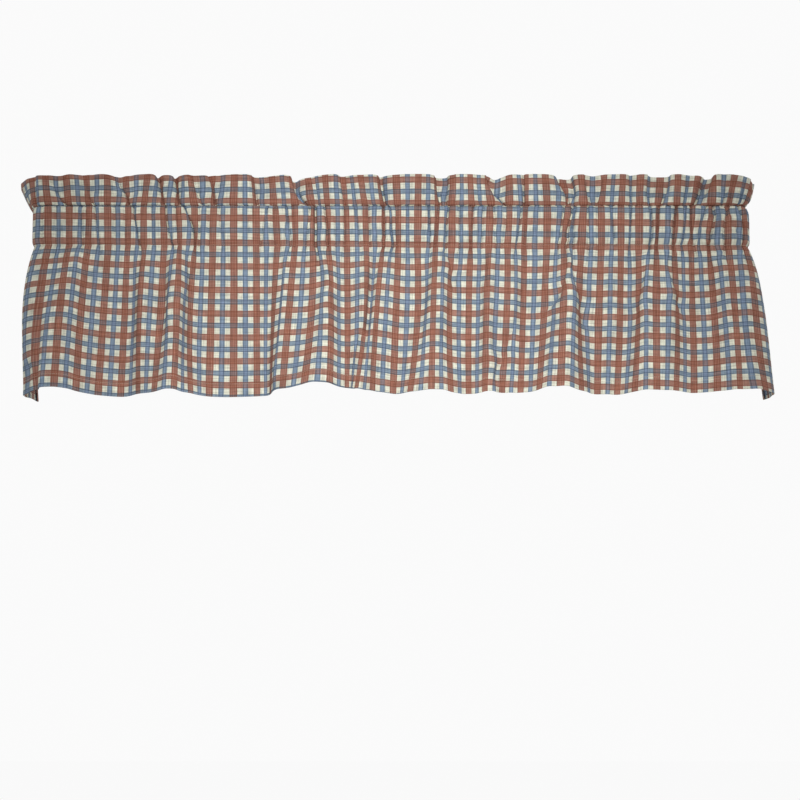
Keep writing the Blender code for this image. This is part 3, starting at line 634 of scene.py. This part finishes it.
levels = spaced(0.0, TURN, TURN, 0.0045, UPPER - 0.009, 0.0022, UPPER + 0.009, 0.0055, LOWER - 0.009, 0.0030,
                LOWER + 0.009, 0.0066, HEM - HEM_UP, 0.0054, HEM - TURN, TURN, HEM)
across = crowded(levels[::3])
face, outward = draped(across, levels)

top_edge = turned(0.0, 1, 0.0026, 1)
hem_edge = turned(HEM, -1, HEM_UP, 5)
row_plan = [(v, back, -past) for v, back, past in reversed(top_edge)]
row_plan += [(v, 0.0, v) for v in levels if TURN <= v <= HEM - TURN + 1e-9]
row_plan += [(v, back, HEM + past) for v, back, past in hem_edge]
side = turned(0.0, 1, SIDE_HEM, 4)
column_plan = [(FIRST + w / REPEAT, back, FIRST - past / REPEAT) for w, back, past in reversed(side)]
column_plan += [(u, 0.0, u) for u in across if FIRST + TURN / REPEAT <= u <= LAST - TURN / REPEAT + 1e-9]
column_plan += [(LAST - w / REPEAT, back, LAST + past / REPEAT) for w, back, past in side]
row_plan, column_plan = np.array(row_plan), np.array(column_plan)


def resampled(grid, rows, columns):
    """A draped grid read between its own levels and columns."""
    by_level = np.empty((len(rows), grid.shape[1], 3))
    for k in range(3):
        for i in range(grid.shape[1]):
            by_level[:, i, k] = np.interp(rows, levels, grid[:, i, k])
    made = np.empty((len(rows), len(columns), 3))
    for k in range(3):
        for j in range(len(rows)):
            made[j, :, k] = np.interp(columns, across, by_level[j, :, k])
    return made


base = resampled(face, row_plan[:, 0], column_plan[:, 0])
panel_out = resampled(outward, row_plan[:, 0], column_plan[:, 0])
behind = row_plan[:, 1][:, None] + column_plan[:, 1][None, :]
panel_grid = base + panel_out * behind[:, :, None]
panel_places = (np.broadcast_to(column_plan[:, 2], panel_grid.shape[:2]),
                np.broadcast_to(row_plan[:, 2][:, None], panel_grid.shape[:2]))
face_cotton = cotton("face_cotton", 0.0, 0.00028)
face_cloth = sewn_mesh("face_cloth", panel_grid, panel_places, face_cotton)

# ---- the facing ----
# A strip of the same cloth behind the heading and behind the rod, sewn on with both rows of stitching, so
# that it and the face make the pocket that the rod goes through.
TUCKED_IN = 0.0012      # the facing's top edge lies this far below the fold of the heading
BEHIND = 0.0018         # middle of the face's cloth to the middle of the facing's
SEWN_BEHIND = 0.0009    # and where the stitching holds them together
HELD = 0.0040           # the stitching holds them this far to each side
EDGE_HELD = 0.0030      # and the fold of the heading this far down
WALL_SIDE = 0.0062      # the facing hangs this far behind the rod line
BACK_EASE = 0.0120      # cloth it takes to get there from a seam
TAIL = 0.0030           # facing left below the lower seam

back_levels = spaced(TUCKED_IN, 0.0050, UPPER - 0.008, 0.002, UPPER + 0.008, 0.006, LOWER - 0.008, 0.0025,
                     LOWER, 0.0015, LOWER + TAIL)
back_across = np.linspace(FIRST + 0.03, LAST - 0.03, 760)


def backing(v):
    """The facing's places at cloth height v: close behind the face, but behind the rod between the seams."""
    at_level = resampled(face, [v], back_across)[0]
    if UPPER < v < LOWER:
        u, out, r = level(v)
        x, y, nx, ny = rod_line(np.interp(back_across, u, r))
        out = np.interp(back_across, u, out)
        q = min(min(v - UPPER, LOWER - v) / BACK_EASE, 1)
        q = q * q * (3 - 2 * q)
        wall = -WALL_SIDE - 0.35 * np.clip(FRONT_OUT - out, 0, None)
        hung = (out - SEWN_BEHIND) * (1 - q) + wall * q
        return np.stack([x + nx * hung, y + ny * hung, at_level[:, 2]], axis=1)
    near_upper = math.exp(-((v - UPPER) / HELD) ** 2)
    near_lower = math.exp(-((v - LOWER) / HELD) ** 2) if v >= LOWER else 0
    near_edge = math.exp(-(v / EDGE_HELD) ** 2)
    gap = BEHIND - (BEHIND - SEWN_BEHIND) * min(near_upper + near_lower + near_edge, 1)
    return at_level - resampled(outward, [v], back_across)[0] * gap


facing_grid = np.array([backing(v) for v in back_levels])
facing_places = (np.broadcast_to(back_across, facing_grid.shape[:2]),
                 np.broadcast_to(back_levels[:, None], facing_grid.shape[:2]))
facing_cotton = cotton("facing_cotton", 0.04, 0.00028)
facing_cloth = sewn_mesh("facing_cloth", facing_grid, facing_places, facing_cotton)

# ---- the stitching ----
# Cream cotton thread in a straight lockstitch, about eight stitches to the inch: one row along each seam of
# the pocket and one along the top of the turned hem. Each shows on the face and again on the back.
STITCH = 0.0027         # length of a stitch
PITCH = 0.0032          # stitch to stitch
THREAD = 0.00021        # radius of the thread as it shows
BACK_THREAD = 1.4 * THREAD      # how far the back's stitches stand off the cloth
HEM_ROW = 0.0018        # the hem's row is this far below its turned edge

thread_cotton = bpy.data.materials.new("thread_cotton")
thread_cotton.use_nodes = True
thread_tree = thread_cotton.node_tree
thread_body = thread_tree.nodes["Principled BSDF"]
thread_body.inputs["Roughness"].default_value = 0.7
thread_place = wired(thread_tree, "ShaderNodeTexCoord").outputs["Object"]
twist = wired(thread_tree, "ShaderNodeTexNoise", Vector=thread_place, Scale=900.0, Detail=2.0).outputs[0]
thread_shade = mixed(thread_tree, twist, shade(194, 176, 156), shade(230, 216, 196))
thread_tree.links.new(thread_shade, thread_body.inputs["Base Color"])

stitcher = bpy.data.node_groups.new("row of stitches", "GeometryNodeTree")
stitcher.interface.new_socket("Line", in_out="INPUT", socket_type="NodeSocketGeometry")
for name, value in (("Pitch", PITCH), ("Stitch", STITCH), ("Thread", THREAD)):
    socket = stitcher.interface.new_socket(name, in_out="INPUT", socket_type="NodeSocketFloat")
    socket.default_value = value
stitcher.interface.new_socket("Stitches", in_out="OUTPUT", socket_type="NodeSocketGeometry")
inlet = stitcher.nodes.new("NodeGroupInput")
curve = wired(stitcher, "GeometryNodeMeshToCurve", Mesh=inlet.outputs["Line"])
resampled_curve = wired(stitcher, "GeometryNodeResampleCurve", {"mode": "LENGTH"},
                        Curve=curve.outputs[0], Length=inlet.outputs["Pitch"])
points = wired(stitcher, "GeometryNodeCurveToPoints", {"mode": "EVALUATED"},
               Curve=resampled_curve.outputs[0])
bar = wired(stitcher, "GeometryNodeMeshUVSphere", Segments=6, Rings=4, Radius=inlet.outputs["Thread"])
stretch = wired(stitcher, "ShaderNodeMath", {"operation": "DIVIDE"}, n0=inlet.outputs["Stitch"],
                n1=inlet.outputs["Thread"])
half_stretch = wired(stitcher, "ShaderNodeMath", {"operation": "MULTIPLY"}, n0=stretch.outputs[0], n1=0.5)
bar_size = wired(stitcher, "ShaderNodeCombineXYZ", X=1.0, Y=1.0, Z=half_stretch.outputs[0])
placed = wired(stitcher, "GeometryNodeInstanceOnPoints", Points=points.outputs["Points"],
               Instance=bar.outputs["Mesh"], Rotation=points.outputs["Rotation"], Scale=bar_size.outputs[0])
whole = wired(stitcher, "GeometryNodeRealizeInstances", Geometry=placed.outputs[0])
dressed = wired(stitcher, "GeometryNodeSetMaterial", Geometry=whole.outputs[0], Material=thread_cotton)
outlet = stitcher.nodes.new("NodeGroupOutput")
stitcher.links.new(dressed.outputs[0], outlet.inputs["Stitches"])


def stitched(name, lines):
    """A stitch every pitch along lines of points, as one plain mesh."""
    guide = bpy.data.meshes.new(name)
    corners, edges = [], []
    for line in lines:
        edges += [(len(corners) + i, len(corners) + i + 1) for i in range(len(line) - 1)]
        corners += line.tolist()
    guide.from_pydata(corners, edges, [])
    made = bpy.data.objects.new(name, guide)
    bpy.context.scene.collection.objects.link(made)
    sewing = made.modifiers.new("sewing", "NODES")
    sewing.node_group = stitcher
    bpy.context.view_layer.update()
    seen = made.evaluated_get(bpy.context.evaluated_depsgraph_get())
    plain = bpy.data.meshes.new_from_object(seen)
    made.modifiers.clear()
    made.data = plain
    plain.shade_smooth()
    return made


def line_on(v, behind_by):
    """A line along the cloth at height v, so far behind its middle, or in front of it below nought."""
    spots = np.linspace(FIRST + 0.05, LAST - 0.05, 1400)
    return resampled(face, [v], spots)[0] - resampled(outward, [v], spots)[0] * behind_by


seam_back = SEWN_BEHIND + BACK_THREAD
seam_thread = stitched("seam_thread", [line_on(UPPER, -THREAD), line_on(LOWER, -THREAD),
                                       line_on(UPPER, seam_back), line_on(LOWER, seam_back)])
hem_row = HEM - HEM_UP + HEM_ROW
hem_thread = stitched("hem_thread", [line_on(hem_row, -THREAD), line_on(hem_row, 2 * TURN + BACK_THREAD)])

for piece, slot in ((face_cloth, "face_cotton"), (facing_cloth, "facing_cotton"),
                    (seam_thread, "face_cotton"), (hem_thread, "face_cotton")):
    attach(piece, "root")
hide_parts("valance_panel")
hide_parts("rod_pocket_facing")

# ---- the surroundings ----
# A plain pale floor far below, a pale even sky, one strong soft beam from in front and weak broad lamps all
# round, as in a studio. The camera looks a little up at the valance from below its hem.
FLOOR = -1.9            # height of the floor
AIM = (0, 0, -0.25)     # what the weak lamps are aimed at
scene = bpy.context.scene
floor_mesh = bpy.data.meshes.new("floor")
corners = [(x, y, FLOOR) for x, y in ((-40, -40), (40, -40), (40, 40), (-40, 40))]
floor_mesh.from_pydata(corners, [], [(0, 1, 2, 3)])
floor = bpy.data.objects.new("floor", floor_mesh)
scene.collection.objects.link(floor)
pale = bpy.data.materials.new("pale_floor")
pale.use_nodes = True
ground = pale.node_tree
ground.nodes["Principled BSDF"].inputs["Base Color"].default_value = (0.86, 0.86, 0.85, 1)
ground.nodes["Principled BSDF"].inputs["Roughness"].default_value = 0.9
glow = wired(ground, "ShaderNodeEmission", Color=(0.95, 0.95, 0.95, 1), Strength=1.0)
direct = wired(ground, "ShaderNodeLightPath").outputs["Is Camera Ray"]
either = wired(ground, "ShaderNodeMixShader", n0=direct, n1=ground.nodes["Principled BSDF"].outputs[0],
               n2=glow.outputs[0])
ground.links.new(either.outputs[0], ground.nodes["Material Output"].inputs["Surface"])
floor_mesh.materials.append(pale)

sky = bpy.data.worlds.new("sky")
scene.world = sky
sky.use_nodes = True
air = sky.node_tree
seen_air = wired(air, "ShaderNodeBackground", Color=(0.96, 0.96, 0.96, 1), Strength=1.0)
lit_air = air.nodes["Background"]
lit_air.inputs["Color"].default_value = (0.97, 0.98, 0.97, 1)
lit_air.inputs["Strength"].default_value = 0.34
direct = wired(air, "ShaderNodeLightPath").outputs["Is Camera Ray"]
either = wired(air, "ShaderNodeMixShader", n0=direct, n1=lit_air.outputs[0], n2=seen_air.outputs[0])
air.links.new(either.outputs[0], air.nodes["World Output"].inputs["Surface"])
scene.view_settings.view_transform = "Standard"


def lamp(name, place, size, power):
    """A square soft lamp aimed at the valance."""
    data = bpy.data.lights.new(name, "AREA")
    data.size = size
    data.energy = power
    made = bpy.data.objects.new(name, data)
    made.location = place
    made.rotation_euler = (Vector(AIM) - Vector(place)).to_track_quat("-Z", "Y").to_euler()
    made.visible_camera = False
    scene.collection.objects.link(made)


beam = bpy.data.lights.new("key", "SPOT")
beam.energy = 294
beam.spot_size = math.radians(31.0)
beam.spot_blend = 1.0
beam.shadow_soft_size = 0.25
key = bpy.data.objects.new("key", beam)
key.location = (0.14, -3.3, 0.0)
key.rotation_euler = (Vector((0.02, 0, -0.44)) - key.location).to_track_quat("-Z", "Y").to_euler()
scene.collection.objects.link(key)
lamp("top light", (-0.35, -1.6, 2.2), 1.5, 8)
lamp("back light", (0.3, 2.4, 0.4), 1.6, 18)
lamp("left light", (-2.3, 0.4, 0.2), 1.0, 5)
lamp("right light", (2.3, 0.4, 0.2), 1.0, 5)

lens = bpy.data.cameras.new("camera")
lens.lens = 100.8
camera = bpy.data.objects.new("camera", lens)
camera.location = (0.0155, -3.81, -0.9207)
camera.rotation_euler = (math.radians(90 + 7.88), 0, 0)
scene.collection.objects.link(camera)
scene.camera = camera
